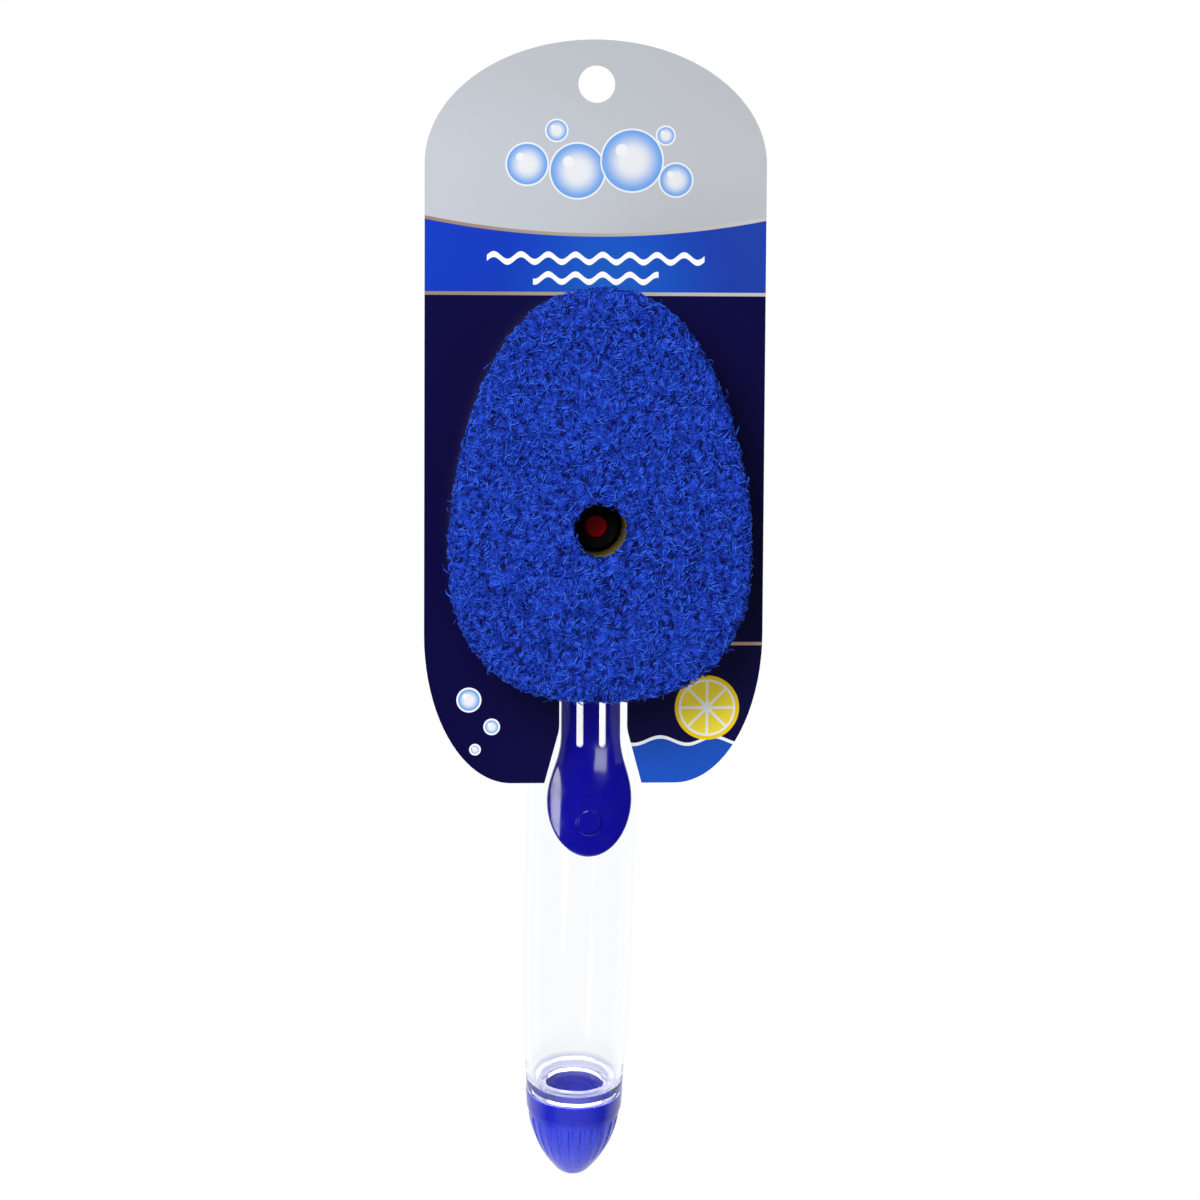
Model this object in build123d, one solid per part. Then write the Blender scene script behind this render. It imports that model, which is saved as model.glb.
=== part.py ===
# A liquid-dispensing dish wand, clipped on its hang card as it is sold.
# Millimetres. +Z is up, -Y is the front, where the scrubbing pad faces, and +X is to the right
# as seen from the front. The origin is the centre of the card's hang hole, halfway through the card.
# The handle leans back as it goes down, so everything on it is drawn straight and then turned.
import math
import os

from build123d import *

# Hang card
card_width = 81.6
card_height = 177.7
card_thick = 0.6
card_dome_rise = 29.3
card_corner_width = 21.0
card_corner_height = 36.0
hang_hole_radius = 4.4
hang_hole_drop = 10.5
card_gap = 0.3

# Keyhole notch in the card: a window behind the pad, a narrow throat and a flared mouth
window_half_width = 10.5
window_above_nozzle = 10.8
window_below_nozzle = 41.4
window_corner_radius = 2.0
throat_half_width = 8.2
throat_length = 8.0
mouth_half_width = 12.3
knee_radius = 9.0

# Refill: scrubbing pad, foam and moulded backing plate
pad_width = 71.0
pad_height = 97.0
pad_thick = 8.0
pad_edge_radius = 1.6
pad_well_radius = 6.1
nozzle_above_pad_foot = 40.4
nozzle_below_hang_hole = 104.8
foam_thick = 13.0
foam_inset = 0.7
plate_thick = 2.0
plate_inset = 2.6
collar_wall = 1.6
collar_depth = 1.4
tab_width = 9.0
tab_height = 4.0
tab_corner_radius = 1.2
tab_below_nozzle = 32.5

# Half of the pad's egg outline: how wide it is at each share of its height from the top
egg_width_shares = (0.4276, 0.6382, 0.878, 1.0, 0.911, 0.648)
egg_drop_shares = (0.0504, 0.1367, 0.338, 0.6547, 0.8273, 0.9424)

# Head base: the tray on the handle's flat front
base_front_width = 46.0
base_above_nozzle = 40.0
base_below_nozzle = 38.5
base_back_width = 24.0
base_back_above_nozzle = 32.5
base_back_below_nozzle = 33.5
base_face_thick = 2.8
base_wall = 1.8
base_depth = 12.4
lever_exit_half_width = 8.3
lever_exit_front = 4.0
lever_exit_height = 16.0
cheek_thick = 2.4
cheek_height = 8.0
cheek_end_gap = 1.4
cheek_side_gap = 0.3

# Handle: a clear hollow body, turned about an axis that leans back
lean_degrees = 15.0
rim_below_hang_hole = 254.2
rim_behind_card = 57.8
handle_wall = 1.8
rim_radius = 12.4
rim_flare_share = 0.06
belly_radius = 13.85
belly_rise = 43.0
shaft_top_radius = 13.2
shaft_rise = 164.0
dome_rise = 25.0
neck_radius = 9.6
neck_length = 9.0
neck_bore_radius = 7.5
neck_step_radius = 8.9
neck_step_rise = 1.6
spout_seat_radius = 5.0

# Outlet spout, valve and nozzle
spout_radius = 4.2
spout_bore_radius = 2.4
spout_tip_behind_card = 0.2
spout_flange_radius = 5.6
spout_flange_thick = 1.2
spout_seal_thick = 1.0
ring_thick = 1.2
ring_depth_behind_card = 2.4
ring_squeeze_gap = 0.08
running_gap = 0.1
sleeve_radius = 5.5
sleeve_front = 5.0
sleeve_lip_thick = 2.2
sleeve_flange_radius = 7.8
sleeve_flange_thick = 1.5
sleeve_edge_radius = 0.5
plug_nose_radius = 2.75
plug_shoulder_radius = 3.5
plug_shoulder_thick = 1.0
plug_recess = 0.1
plug_crown_radius = 0.6
plug_socket_depth = 1.4
stem_radius = 1.0
fin_thick = 0.8
fin_length = 7.0
fin_count = 3
fit_gap = 0.02
sleeve_clearance = 0.4

# Return spring
spring_wire = 0.55
spring_turns = 3.0
spring_mean_radius = 6.6
spring_seat_gap = 0.05

# Trigger: fork, boss, two arms and a thumb paddle
pivot_below_nozzle = 20.7
pivot_behind_card = 8.0
pin_radius = 1.2
boss_radius = 2.9
lever_thick = 2.8
fork_thick = 2.0
fork_gap = 0.3
fork_back_gap = 0.7
fork_above_pivot = 23.0
fork_root_above_pivot = 13.6
arm_width = 14.4
arm_length = 31.0
paddle_width = 20.7
paddle_widest_below_pivot = 47.5
paddle_foot_below_pivot = 61.7
bend_below_pivot = 37.5
bend_behind_card = 7.4
foot_behind_card = 13.5
slot_width = 1.6
slot_half_spacing = 2.75
slot_head_below_pivot = 7.0
slot_foot_below_pivot = 33.9
paddle_edge_radius = 0.8
lever_crown_radius = 22.0
lever_bend_radius = 60.0
mark_below_pivot = 53.0
mark_radius = 3.1
mark_width = 0.35
mark_depth = 0.2

# Filler cap and its seal
cap_radius = 12.5
cap_gap = 0.4
cap_band_height = 5.0
cap_step = 0.3
cap_taper = 0.3
cap_length = 24.6
cap_lean_share = 0.08
cap_tip_radius = 6.0
cap_wall = 1.7
cap_socket_gap = 0.35
seal_thick = 0.9
seal_gap = 0.2
shelf_width = 1.9
flute_count = 24
flute_radius = 0.8
flute_start = 2.2
flute_length = 12.5
flute_lift = 0.35
flute_fade = 6.6

# One length by which every cutting tool runs past what it cuts
overrun = 2.0

# Places that follow from the sizes above; depths are measured back from the card's middle
card_face = card_thick / 2
nozzle_z = -nozzle_below_hang_hole
pad_foot_z = nozzle_z - nozzle_above_pad_foot
pad_top_z = pad_foot_z + pad_height
plate_back = -card_face - card_gap
plate_front = plate_back - plate_thick
foam_front = plate_front - foam_thick
pad_front = foam_front - pad_thick
base_front = card_face + card_gap
base_back = base_front + base_depth
base_face_back = base_front + base_face_thick
pivot_z = nozzle_z - pivot_below_nozzle
fork_front = base_back - fork_back_gap - fork_thick
sleeve_back = fork_front - fork_gap
sleeve_flange_front = sleeve_back - sleeve_flange_thick
sleeve_bore_radius = spout_radius + running_gap
collar_inner_radius = sleeve_radius + sleeve_clearance
collar_radius = collar_inner_radius + collar_wall
boss_half_width = arm_width / 2 + running_gap
cheek_inner = boss_half_width + cheek_side_gap
cheek_outer = cheek_inner + cheek_thick
lip_back = -sleeve_front + sleeve_lip_thick
lean = math.radians(lean_degrees)


def seen_from_front(depth):
    """The drawing plane at one depth: x to the right, y up, facing the front."""
    return Plane(origin=(0, depth, 0), x_dir=(1, 0, 0), z_dir=(0, -1, 0))


def slab(face, front, back):
    """A flat outline made solid between two depths."""
    return extrude(seen_from_front(back) * face, amount=back - front)


def nozzle_disc(radius, front, back):
    """A round bar on the nozzle's axis."""
    return slab(Pos(0, nozzle_z) * Circle(radius), front, back)


def nozzle_ring(outer, inner, front, back):
    """A round tube on the nozzle's axis."""
    return slab(Pos(0, nozzle_z) * (Circle(outer) - Circle(inner)), front, back)


def egg(half_width, top, foot):
    """The pad's egg outline, drawn to any width and height."""
    height = top - foot
    shares = zip(egg_width_shares, egg_drop_shares)
    right = [(half_width * wide, top - height * drop) for wide, drop in shares]
    left = [(-x, z) for x, z in reversed(right)]
    return make_face(Spline((0, top), *right, (0, foot), *left, periodic=True))


def inset_egg(inset):
    """The pad's outline drawn in all round by one distance."""
    return egg(pad_width / 2 - inset, pad_top_z - inset, pad_foot_z + inset)


# Hang card

def card_outline():
    """Domed top, straight sides and long rounded lower corners."""
    top = hang_hole_drop
    foot = top - card_height
    shoulder = top - card_dome_rise
    hip = foot + card_corner_height
    half_width = card_width / 2
    outline = Pos(0, (shoulder + hip) / 2) * Rectangle(card_width, shoulder - hip)
    outline += Pos(0, shoulder) * Ellipse(half_width, card_dome_rise)
    floor_width = card_width - card_corner_width * 2
    outline += Pos(0, (hip + foot) / 2) * Rectangle(floor_width, card_corner_height)
    for side in (-1, 1):
        corner = Ellipse(card_corner_width, card_corner_height)
        outline += Pos(side * (half_width - card_corner_width), hip) * corner
    return outline


def card_notch():
    """The keyhole that lets the card go round the nozzle and the trigger."""
    window_top = nozzle_z + window_above_nozzle
    window_foot = nozzle_z - window_below_nozzle
    knee = window_foot - throat_length
    below = hang_hole_drop - card_height - overrun
    right = [
        (window_half_width, window_top),
        (window_half_width, window_foot),
        (throat_half_width, window_foot),
        (throat_half_width, knee),
        (mouth_half_width, below),
    ]
    left = [(-x, z) for x, z in reversed(right)]
    notch = make_face(Polyline(*right, *left, close=True))
    window_corners = [v for v in notch.vertices() if abs(v.Y - knee) > running_gap and v.Y > knee]
    window_corners = [v for v in window_corners if abs(v.X) > throat_half_width + running_gap]
    notch = fillet(window_corners, window_corner_radius)
    knees = [v for v in notch.vertices() if abs(v.Y - knee) < running_gap]
    return fillet(knees, knee_radius)


def make_hang_card():
    return slab(card_outline() - Circle(hang_hole_radius) - card_notch(), -card_face, card_face)


# Refill

def make_scrub_pad():
    pad = slab(inset_egg(0), pad_front, foam_front)
    front_edge = pad.edges().group_by(Axis.Y)[0]
    pad = fillet(front_edge, pad_edge_radius)
    return pad - nozzle_disc(pad_well_radius, pad_front - overrun, foam_front + overrun)


def make_foam_core():
    foam = slab(inset_egg(foam_inset), foam_front, plate_front)
    return foam - nozzle_disc(pad_well_radius, foam_front - overrun, plate_front + overrun)


def make_refill_plate():
    """The moulded plate behind the foam, with a collar and a tab that plug into the head."""
    plate = slab(inset_egg(plate_inset), plate_front, plate_back)
    plate += nozzle_disc(collar_radius, plate_back, plate_back + plug_reach())
    tab = Pos(0, nozzle_z - tab_below_nozzle) * RectangleRounded(tab_width, tab_height, tab_corner_radius)
    plate += slab(tab, plate_back, plate_back + plug_reach())
    return plate - nozzle_disc(collar_inner_radius, plate_front - overrun, base_back)


def plug_reach():
    """How far the refill's collar and tab stand back from its plate."""
    return card_gap + card_thick + card_gap + collar_depth


# Head base

def base_body(half_front, half_back, grow, front, back):
    """The tray's tapered form, or the hollow inside it when grow is negative."""
    front_top = nozzle_z + base_above_nozzle + grow
    front_foot = nozzle_z - base_below_nozzle - grow
    front_egg = egg(half_front + grow, front_top, front_foot)
    back_top = nozzle_z + base_back_above_nozzle + grow
    back_foot = nozzle_z - base_back_below_nozzle - grow
    back_egg = egg(half_back + grow, back_top, back_foot)
    return loft([seen_from_front(front) * front_egg, seen_from_front(back) * back_egg], ruled=True)


def make_head_base():
    """A tray that tapers back to the handle's flat front, with two cheeks for the trigger pin."""
    half_front = base_front_width / 2
    half_back = base_back_width / 2
    tray = base_body(half_front, half_back, 0, base_front, base_back)
    hollow = base_body(half_front, half_back, -base_wall, base_front, base_back)
    behind_face = Pos(0, nozzle_z) * Rectangle(base_front_width * 2, card_height)
    tray -= hollow & slab(behind_face, base_face_back, base_back)
    exit_hole = Rectangle(lever_exit_half_width * 2, lever_exit_height)
    exit_hole = Pos(0, nozzle_z - base_back_below_nozzle) * exit_hole
    tray -= slab(exit_hole, base_front + lever_exit_front, base_back + overrun)
    for side in (-1, 1):
        cheek_middle = side * (cheek_inner + cheek_outer) / 2
        cheek = Pos(cheek_middle, pivot_z) * Rectangle(cheek_thick, cheek_height)
        tray += slab(cheek, base_face_back, base_back - cheek_end_gap)
    tray -= nozzle_disc(collar_inner_radius, base_front - overrun, base_back)
    socket_back = base_front + collar_depth + running_gap
    tray -= nozzle_disc(collar_radius + fit_gap, base_front - overrun, socket_back)
    socket = RectangleRounded(tab_width + fit_gap * 2, tab_height + fit_gap * 2, tab_corner_radius)
    socket = Pos(0, nozzle_z - tab_below_nozzle) * socket
    tray -= slab(socket, base_front - overrun, socket_back)
    return tray - pin_bar(pin_radius + fit_gap, cheek_outer + overrun)


def pin_bar(radius, half_length):
    """A round bar on the trigger's pivot axis."""
    bar = Cylinder(radius, half_length * 2, rotation=(0, 90, 0))
    return Pos(0, pivot_behind_card, pivot_z) * bar


def make_trigger_pin():
    return chamfer(pin_bar(pin_radius, cheek_outer).edges().filter_by(GeomType.CIRCLE), running_gap * 2)


# Handle

def on_handle(shape):
    """Carries a shape drawn about the Z axis to the handle, whose rim is at zero height."""
    origin = (0, rim_behind_card, -rim_below_hang_hole)
    axis = (0, -math.sin(lean), math.cos(lean))
    return Plane(origin=origin, x_dir=(1, 0, 0), z_dir=axis) * shape


def turned(edges):
    """A half outline in radius and height, turned about the Z axis."""
    return revolve(Plane.XZ * make_face(edges), Axis.Z)


def handle_form(wall):
    """The handle's belly, shaft and dome, drawn in by a wall."""
    foot = (rim_radius - wall, 0)
    belly = (belly_radius - wall, belly_rise)
    shaft_top = (shaft_top_radius - wall, shaft_rise)
    crown = (0, shaft_rise + dome_rise - wall)
    lower_side = Spline(foot, belly, tangents=((rim_flare_share, 1), (0, 1)))
    upper_side = Spline(belly, shaft_top, tangents=((0, 1), (0, 1)))
    dome = EllipticalCenterArc((0, shaft_rise), shaft_top[0], dome_rise - wall, arc_size=90)
    return turned([lower_side, upper_side, dome, Line(crown, (0, 0)), Line((0, 0), foot)])


def in_front_of(depth):
    """Everything in front of the handle's flat face."""
    block = Pos(0, nozzle_z) * Rectangle(card_width * 2, card_height)
    return slab(block, depth - card_width, depth)


def handle_bar(radius, foot, top):
    """A round bar on the handle's own axis, between two heights above the rim."""
    return on_handle(Pos(0, 0, (foot + top) / 2) * Cylinder(radius, top - foot))


def make_reservoir_handle():
    """A clear hollow handle, cut flat where the head base sits, with a thick stepped neck."""
    outer = on_handle(handle_form(0)) - in_front_of(base_back)
    outer += handle_bar(neck_radius, -neck_length, running_gap)
    hollow = on_handle(handle_form(handle_wall)) - in_front_of(base_back + handle_wall)
    hollow -= handle_bar(belly_radius, -overrun, neck_step_rise * 2)
    hollow += handle_bar(neck_step_radius, neck_step_rise, neck_step_rise * 2 + running_gap)
    hollow += handle_bar(neck_bore_radius, -neck_length - overrun, neck_step_rise + running_gap)
    seat = nozzle_disc(spout_seat_radius, base_back - overrun, base_back + handle_wall + overrun)
    return outer - hollow - seat


# Outlet and valve

def make_outlet_spout():
    spout = nozzle_disc(spout_radius, spout_tip_behind_card, base_back)
    spout += nozzle_disc(spout_flange_radius, base_back - spout_flange_thick, base_back)
    spout += nozzle_disc(spout_seat_radius - spout_seal_thick, base_back, base_back + handle_wall)
    spout_end = base_back + handle_wall
    spout -= nozzle_disc(spout_bore_radius, spout_tip_behind_card - overrun, spout_end + overrun)
    groove_front = ring_depth_behind_card - ring_thick / 2 - ring_squeeze_gap
    groove_back = ring_depth_behind_card + ring_thick / 2 + ring_squeeze_gap
    groove_floor = spout_radius - ring_thick
    return spout - nozzle_ring(spout_radius + overrun, groove_floor, groove_front, groove_back)


def make_spout_seal():
    """A soft bush between the spout and the hole in the handle's wall."""
    inner = spout_seat_radius - spout_seal_thick
    return nozzle_ring(spout_seat_radius, inner, base_back, base_back + handle_wall)


def make_nozzle_o_ring():
    radius = ring_thick / 2
    centre_radius = spout_radius - radius
    ring = Torus(centre_radius, radius, rotation=(90, 0, 0))
    return Pos(0, ring_depth_behind_card, nozzle_z) * ring


def make_valve_core():
    """A stem held in the spout's bore by fins, so liquid can pass between them."""
    front = -sleeve_front + plug_recess
    stem_front = front + plug_recess + plug_crown_radius + plug_socket_depth / 2
    fins_back = base_back
    reach = spout_bore_radius - fit_gap
    fins = Sketch() + [
        Pos(0, nozzle_z) * Rot(0, 0, turn * 360 / fin_count) * Pos(reach / 2, 0) * Rectangle(reach, fin_thick)
        for turn in range(fin_count)
    ]
    fins &= Pos(0, nozzle_z) * Circle(reach)
    core = nozzle_disc(stem_radius, stem_front, fins_back)
    return core + slab(fins, fins_back - fin_length, fins_back)


def make_valve_plug():
    """The red plug: its nose fills the nozzle's mouth and its shoulder meets the lip from behind."""
    front = -sleeve_front + plug_recess
    shoulder_front = lip_back + fit_gap
    shoulder_back = shoulder_front + plug_shoulder_thick
    nose = nozzle_disc(plug_nose_radius, front, shoulder_front)
    nose = fillet(nose.edges().group_by(Axis.Y)[0], plug_crown_radius)
    plug = nose + nozzle_disc(plug_shoulder_radius, shoulder_front, shoulder_back)
    stem_front = front + plug_recess + plug_crown_radius + plug_socket_depth / 2
    return plug - nozzle_disc(stem_radius, stem_front, shoulder_back + overrun)


def make_nozzle_sleeve():
    sleeve = nozzle_disc(sleeve_radius, -sleeve_front, sleeve_back)
    sleeve = fillet(sleeve.edges().group_by(Axis.Y)[0], sleeve_edge_radius)
    sleeve += nozzle_disc(sleeve_flange_radius, sleeve_flange_front, sleeve_back)
    sleeve -= nozzle_disc(sleeve_bore_radius, lip_back, sleeve_back + overrun)
    return sleeve - nozzle_disc(plug_nose_radius + running_gap, -sleeve_front - overrun, lip_back)


def make_return_spring():
    front = base_face_back + spring_seat_gap + spring_wire / 2
    back = sleeve_flange_front - spring_seat_gap - spring_wire / 2
    length = back - front
    path = Helix(length / spring_turns, length, spring_mean_radius)
    section = Plane(origin=path @ 0, z_dir=path % 0) * Circle(spring_wire / 2)
    wire = sweep(section, path=path)
    return Pos(0, back, nozzle_z) * Rot(90, 0, 0) * wire


# Trigger

def lever_outline():
    """The lever from the front: straight arms that swell into a thumb paddle."""
    half_arm = arm_width / 2
    half_paddle = paddle_width / 2
    arm_foot = (half_arm, pivot_z - arm_length)
    widest = (half_paddle, pivot_z - paddle_widest_below_pivot)
    foot = (0, pivot_z - paddle_foot_below_pivot)
    flare = Spline(arm_foot, widest, tangents=((0, -1), (0, -1)))
    tip_height = paddle_foot_below_pivot - paddle_widest_below_pivot
    tip = EllipticalCenterArc((0, widest[1]), half_paddle, tip_height, 270, arc_size=90)
    half = [flare, tip]
    left = [mirror(edge, about=Plane.YZ) for edge in half]
    head = Line((half_arm, pivot_z), arm_foot)
    left_head = mirror(head, about=Plane.YZ)
    top = Line((-half_arm, pivot_z), (half_arm, pivot_z))
    return make_face([*half, *left, head, left_head, top])


def lever_shell(thick):
    """A skin of the lever from its front, crowned across and swept down its bent middle line."""
    bend = pivot_z - bend_below_pivot
    foot = pivot_z - paddle_foot_below_pivot - overrun
    front = lever_thick / 2
    points = [
        (0, pivot_behind_card - front, pivot_z),
        (0, bend_behind_card - front, bend),
        (0, foot_behind_card - front, foot),
    ]
    path = FilletPolyline(*points, radius=lever_bend_radius)
    half_angle = math.degrees(math.asin(paddle_width / 2 / (lever_crown_radius - lever_thick)))
    outer = CenterArc((0, -lever_crown_radius), lever_crown_radius, 90 - half_angle, half_angle * 2)
    inner = CenterArc((0, -lever_crown_radius), lever_crown_radius - thick, 90 - half_angle, half_angle * 2)
    section = make_face([outer, inner, Line(outer @ 0, inner @ 0), Line(outer @ 1, inner @ 1)])
    start = Plane(origin=path @ 0, x_dir=(1, 0, 0), z_dir=path % 0)
    return sweep(start * section, path=path)


def fork_profile():
    """The side view of the fork, from the boss up behind the sleeve's flange."""
    back = fork_front + fork_thick
    root = pivot_z + fork_root_above_pivot / 2
    top = pivot_z + fork_above_pivot
    points = [
        (pivot_behind_card - boss_radius / 2, pivot_z),
        (fork_front, root),
        (fork_front, top),
        (back, top),
        (back, root),
        (pivot_behind_card + boss_radius * 3 / 4, pivot_z),
    ]
    return make_face(Polyline(*points, close=True))


def across(profile, half_width):
    """A side view made solid to both sides of the middle."""
    side_plane = Plane(origin=(-half_width, 0, 0), x_dir=(0, 1, 0), z_dir=(1, 0, 0))
    return extrude(side_plane * profile, amount=half_width * 2)


def make_trigger():
    outline = slab(lever_outline(), 0, base_back + card_width)
    lever = outline & lever_shell(lever_thick)
    rim_edges = lever.edges().filter_by(lambda edge: edge.center().Z < pivot_z - arm_length)
    lever = fillet(rim_edges, paddle_edge_radius)
    mark = Circle(mark_radius) - Circle(mark_radius - mark_width)
    mark = Pos(0, pivot_z - mark_below_pivot) * mark
    lever -= slab(mark, 0, base_back + card_width) & lever_shell(mark_depth)
    for side in (-1, 1):
        length = slot_foot_below_pivot - slot_head_below_pivot
        middle = pivot_z - (slot_foot_below_pivot + slot_head_below_pivot) / 2
        slot = Pos(side * slot_half_spacing, middle) * SlotOverall(length, slot_width, rotation=90)
        lever -= slab(slot, 0, base_back + card_width)
    lever += pin_bar(boss_radius, boss_half_width)
    fork = across(fork_profile(), boss_half_width)
    mouth_height = fork_above_pivot - fork_root_above_pivot
    mouth = Rectangle(collar_inner_radius * 2, mouth_height * 2)
    fork -= slab(Pos(0, pivot_z + fork_above_pivot) * mouth, 0, base_back + card_width)
    lever += fork
    return lever - pin_bar(pin_radius + running_gap, boss_half_width + overrun)


# Filler cap

def cap_side_centre():
    """Centre and radius of the cap's side arc, which runs smoothly into its round tip."""
    start = Vector(cap_radius - cap_taper - cap_step, -cap_gap - cap_band_height)
    tip_centre = Vector(0, cap_tip_radius - cap_gap - cap_length)
    inward = Vector(-1, cap_lean_share).normalized()
    across_gap = start - tip_centre
    reach = across_gap.dot(across_gap) - cap_tip_radius**2
    radius = reach / (-2 * inward.dot(across_gap) - 2 * cap_tip_radius)
    return start + inward * radius, radius


def cap_side():
    """The cap's outline from its band to its tip: one long arc, then the round tip."""
    centre, radius = cap_side_centre()
    start = Vector(cap_radius - cap_taper - cap_step, -cap_gap - cap_band_height)
    tip_centre = Vector(0, cap_tip_radius - cap_gap - cap_length)
    down = (tip_centre - centre).normalized()
    join = tip_centre + down * cap_tip_radius
    halfway = centre + ((start - centre).normalized() + down).normalized() * radius
    tip_halfway = tip_centre + (down + Vector(0, -1)).normalized() * cap_tip_radius
    tip = tip_centre - Vector(0, cap_tip_radius)
    return [ThreePointArc(start, halfway, join), ThreePointArc(join, tip_halfway, tip)]


def make_flute():
    """One groove that starts round under the band and fades out towards the tip."""
    centre, radius = cap_side_centre()
    first = -math.asin((cap_band_height + cap_gap + flute_start + centre.Y) / radius)
    sweep_angle = math.degrees(flute_length / radius)
    outward = Vector(math.cos(first), math.sin(first))
    head = centre + outward * (radius + flute_lift)
    turn_centre = head - outward * (radius + flute_fade)
    along = (math.sin(first), 0, -math.cos(first))
    section = Plane(origin=(head.X, 0, head.Y), z_dir=along) * Circle(flute_radius)
    groove = revolve(section, Axis((turn_centre.X, 0, turn_centre.Y), (0, 1, 0)), sweep_angle)
    return groove + Pos(head.X, 0, head.Y) * Sphere(flute_radius)


def make_end_cap():
    """A thin cup: smooth band at the rim, flutes below it, and a shelf inside for the seal."""
    rim = -cap_gap
    band_foot = rim - cap_band_height
    shelf = -neck_length - seal_gap - seal_thick
    socket_radius = neck_radius + cap_socket_gap
    bowl_radius = socket_radius - shelf_width
    step_top = (cap_radius - cap_taper, band_foot + cap_step)
    side, tip = cap_side()
    bowl_depth = cap_gap + cap_length - cap_wall + shelf
    inside = Spline((bowl_radius, shelf), (0, shelf - bowl_depth), tangents=((0, -1), (-1, 0)))
    edges = [
        Line((cap_radius, rim), step_top),
        Line(step_top, side @ 0),
        side,
        tip,
        Line(tip @ 1, inside @ 1),
        inside,
        Line(inside @ 0, (socket_radius, shelf)),
        Line((socket_radius, shelf), (socket_radius, rim)),
        Line((socket_radius, rim), (cap_radius, rim)),
    ]
    cap = turned(edges)
    groove = make_flute()
    for turn in range(flute_count):
        cap -= Rot(0, 0, (turn + 1 / 2) * 360 / flute_count) * groove
    return on_handle(cap)


def make_cap_seal():
    foot = -neck_length - seal_gap - seal_thick
    ring = Cylinder(neck_radius, seal_thick) - Cylinder(neck_bore_radius, seal_thick * 2)
    return on_handle(Pos(0, 0, foot + seal_thick / 2) * ring)


makers = {
    "hang_card": make_hang_card,
    "scrub_pad": make_scrub_pad,
    "foam_core": make_foam_core,
    "refill_plate": make_refill_plate,
    "head_base": make_head_base,
    "trigger_pin": make_trigger_pin,
    "trigger": make_trigger,
    "reservoir_handle": make_reservoir_handle,
    "outlet_spout": make_outlet_spout,
    "spout_seal": make_spout_seal,
    "nozzle_o_ring": make_nozzle_o_ring,
    "valve_core": make_valve_core,
    "valve_plug": make_valve_plug,
    "nozzle_sleeve": make_nozzle_sleeve,
    "return_spring": make_return_spring,
    "end_cap": make_end_cap,
    "cap_seal": make_cap_seal,
}

os.makedirs("parts", exist_ok=True)
for name, make in makers.items():
    export_step(make(), f"parts/{name}.step")
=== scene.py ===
# %% [markdown]
# A dish wand on its hang card
#
# A dish wand is a scrubbing refill on a clear handle that holds washing liquid. A thumb trigger opens a
# small nozzle in the middle of the pad. Here it is clipped on the card that it hangs from in a shop.
#
# The rigid pieces come from a CAD model and are never moved, so most of this notebook gives them their
# finishes. The soft pieces, a non-woven pad and the foam behind it, are modelled here, because a CAD
# solid has none of their fibres and cells. All sizes are in metres.

import math

import bpy
import numpy as np
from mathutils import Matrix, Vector
from mathutils.bvhtree import BVHTree
from mathutils.noise import noise as noise_at


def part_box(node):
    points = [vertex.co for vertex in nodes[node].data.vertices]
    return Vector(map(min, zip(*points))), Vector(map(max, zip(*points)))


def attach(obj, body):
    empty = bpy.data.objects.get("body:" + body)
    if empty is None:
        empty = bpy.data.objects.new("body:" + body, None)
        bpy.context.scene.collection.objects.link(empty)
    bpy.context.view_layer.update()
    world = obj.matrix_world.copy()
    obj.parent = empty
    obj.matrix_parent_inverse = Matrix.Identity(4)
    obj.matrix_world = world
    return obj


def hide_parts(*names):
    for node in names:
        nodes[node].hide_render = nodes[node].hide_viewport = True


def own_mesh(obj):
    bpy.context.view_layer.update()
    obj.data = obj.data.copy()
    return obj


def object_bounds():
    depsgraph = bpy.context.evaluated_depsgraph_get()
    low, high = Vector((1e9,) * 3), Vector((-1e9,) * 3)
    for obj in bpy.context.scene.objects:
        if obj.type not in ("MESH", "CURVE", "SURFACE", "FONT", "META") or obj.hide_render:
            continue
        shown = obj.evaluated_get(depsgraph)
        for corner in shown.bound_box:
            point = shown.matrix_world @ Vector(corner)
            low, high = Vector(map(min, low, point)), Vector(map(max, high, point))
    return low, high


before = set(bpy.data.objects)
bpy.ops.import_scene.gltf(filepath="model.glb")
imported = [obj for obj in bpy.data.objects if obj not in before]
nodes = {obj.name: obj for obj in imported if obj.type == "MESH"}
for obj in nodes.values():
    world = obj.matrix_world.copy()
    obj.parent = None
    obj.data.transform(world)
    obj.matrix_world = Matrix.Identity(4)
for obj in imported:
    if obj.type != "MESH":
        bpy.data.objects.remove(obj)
cad_low, cad_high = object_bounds()

# %% [markdown]
# The camera
#
# The photograph was taken from straight ahead with a long lens, a little above the middle of the card
# and a little to its left. A camera can be placed by eye, but a few pixels of error show at every edge.
# So the place, turn and lens below were worked out from the hang hole, the card's edges, the pad's
# outline, the trigger's tip and the cap, so that each lands where the photograph has it.

# %% Set up the camera
CAMERA_PLACE = (-0.0671, -0.8825, -0.0441)
CAMERA_TURN_DEGREES = (84.911, -0.335, -4.413)
LENS_MM = 110.93
SENSOR_MM = 36.0

camera_data = bpy.data.cameras.new("camera")
camera_data.lens = LENS_MM
camera_data.sensor_width = SENSOR_MM
camera = bpy.data.objects.new("camera", camera_data)
camera.location = CAMERA_PLACE
camera.rotation_euler = [math.radians(angle) for angle in CAMERA_TURN_DEGREES]
bpy.context.scene.collection.objects.link(camera)
bpy.context.scene.camera = camera
bpy.context.scene.view_settings.view_transform = "Standard"
print("camera", camera.location[:], "lens", LENS_MM)

# %% [markdown]
# Node helpers
#
# Every finish is a small graph of shader nodes. Building one by hand takes many clicks, so a few helpers
# do the repeated part: one adds a node, one does arithmetic, one fades between two levels, and one
# gives noise. All of them read the place on the object, so a finish stays put from every side.

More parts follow.
